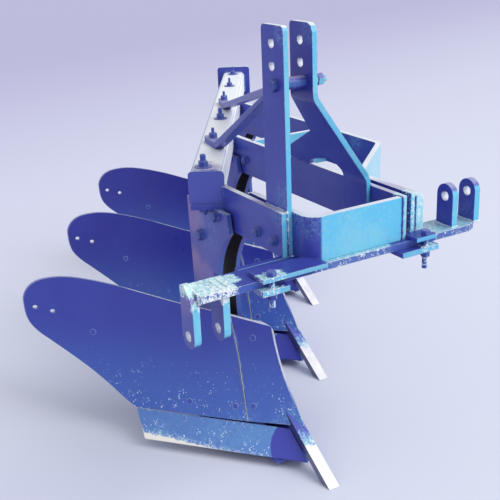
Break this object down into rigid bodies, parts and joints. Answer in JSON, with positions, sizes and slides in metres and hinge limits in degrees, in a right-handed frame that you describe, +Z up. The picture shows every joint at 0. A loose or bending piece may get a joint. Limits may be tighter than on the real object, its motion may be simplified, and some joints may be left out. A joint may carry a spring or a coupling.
{
  "type": "moldboard plough",
  "caption": "Mounted moldboard plough with a slanting square-tube beam, twin-plate legs, curved moldboards, hitch mast and clamped cross-shaft.",
  "frame": {"origin": "centre of the bounding box at ground level", "axes": "+X forward in the direction of ploughing, +Y to the left, +Z up"},
  "size_m": [2.0242, 1.4832, 1.328],
  "materials": {
    "blue_paint": "glossy brushed-on enamel",
    "bare_steel": "ground bare bar with paint over its upper end"
  },
  "bodies": {
    "plough": {"main_beam": "blue_paint", "beam_end_plate": "blue_paint", "near_frame_bar": "blue_paint", "middle_frame_bar": "blue_paint", "far_frame_bar": "blue_paint", "front_cross_member": "blue_paint", "rear_cross_member": "blue_paint", "mast_plate_right": "blue_paint", "mast_plate_left": "blue_paint", "stay_right": "blue_paint", "stay_left": "blue_paint", "shaft_clamp_right": "blue_paint", "shaft_clamp_left": "blue_paint", "leg_1": "blue_paint", "leg_clamp_1": "blue_paint", "frog_1": "blue_paint", "moldboard_1": "blue_paint", "shin_1": "blue_paint", "share_1": "blue_paint", "bar_point_1": "bare_steel", "landside_1": "blue_paint", "wing_brace_1": "blue_paint", "leg_2": "blue_paint", "leg_clamp_2": "blue_paint", "frog_2": "blue_paint", "moldboard_2": "blue_paint", "shin_2": "blue_paint", "share_2": "blue_paint", "bar_point_2": "bare_steel", "landside_2": "blue_paint", "wing_brace_2": "blue_paint", "leg_3": "blue_paint", "leg_clamp_3": "blue_paint", "frog_3": "blue_paint", "moldboard_3": "blue_paint", "shin_3": "blue_paint", "share_3": "blue_paint", "bar_point_3": "bare_steel", "landside_3": "blue_paint", "wing_brace_3": "blue_paint"},
    "cross_shaft": {"cross_shaft": "blue_paint", "hitch_lugs_right": "blue_paint", "hitch_lugs_left": "blue_paint"}
  },
  "joints": [
    {"name": "cross_shaft_slide", "type": "slide", "parent": "plough", "child": "cross_shaft", "axis": [0, 1, 0], "range_m": [-0.05, 0.05]}
  ]
}
